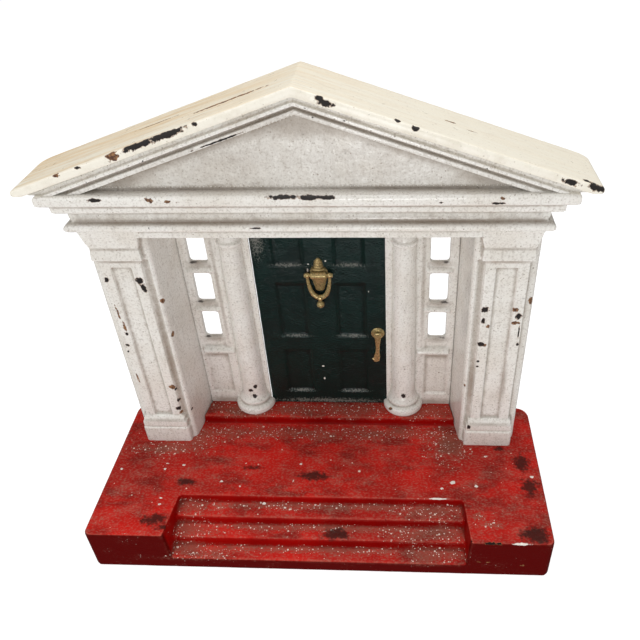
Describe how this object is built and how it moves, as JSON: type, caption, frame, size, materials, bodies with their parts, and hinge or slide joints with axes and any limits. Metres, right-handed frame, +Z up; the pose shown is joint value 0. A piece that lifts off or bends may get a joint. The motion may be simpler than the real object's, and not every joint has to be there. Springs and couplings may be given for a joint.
{
  "type": "temple-front coin bank",
  "caption": "Painted cast iron coin bank shaped as a temple-front doorway on a hollow stepped base, with a hung door, brass knocker, lever handle and a swinging coin trap.",
  "frame": {"origin": "on the table, under the centre of the whole object's plan", "axes": "+X along the front from left to right, +Y from the stepped front to the flat back, +Z up"},
  "size_m": [0.2114, 0.08, 0.1963],
  "materials": {
    "red_enamel": "worn dusty gloss enamel over cast iron",
    "white_enamel": "aged ivory gloss enamel with chips and grime",
    "cream_enamel": "yellowed cream enamel with lengthwise streaks",
    "green_enamel": "very dark green gloss enamel over a rough casting",
    "aged_brass": "aged brass with brown patina",
    "bare_iron": "unpainted sand casting",
    "steel": "dull zinc-plated fasteners"
  },
  "bodies": {
    "root": {"base_casting": "red_enamel", "floor_plate": "bare_iron", "floor_plate_screws": "steel", "trap_screw": "steel", "facade_wall": "white_enamel", "left_column": "white_enamel", "right_column": "white_enamel", "column_screws": "steel", "left_pier": "white_enamel", "right_pier": "white_enamel", "entablature": "white_enamel", "pediment": "white_enamel", "pediment_screws": "steel", "roof": "cream_enamel", "roof_screws": "steel", "tie_rods": "steel", "tie_rod_nuts": "steel", "door_pivots": "steel"},
    "door": {"door_leaf": "green_enamel", "knocker_plate": "aged_brass", "knocker_screws": "steel", "knocker_pin": "aged_brass", "handle_rose": "aged_brass"},
    "knocker": {"knocker_striker": "aged_brass"},
    "handle": {"door_handle": "aged_brass", "latch_bar": "aged_brass", "latch_nut": "aged_brass"},
    "coin_trap": {"coin_trap_cover": "bare_iron"}
  },
  "joints": [
    {"name": "door_hinge", "type": "hinge", "parent": "root", "child": "door", "pos_m": [-0.0277, 0.0383, 0.0276], "axis": [0, 0, 1], "range_deg": [0, 90]},
    {"name": "knocker_swing", "type": "hinge", "parent": "door", "child": "knocker", "pos_m": [0, 0.0344, 0.1062], "axis": [-1, 0, 0], "range_deg": [0, 100]},
    {"name": "handle_turn", "type": "hinge", "parent": "door", "child": "handle", "pos_m": [0.0252, 0.0368, 0.0727], "axis": [0, 1, 0], "range_deg": [0, 90]},
    {"name": "trap_swing", "type": "hinge", "parent": "root", "child": "coin_trap", "pos_m": [-0.0175, 0.0035, 0.0022], "axis": [0, 0, 1], "range_deg": [0, 110]}
  ]
}
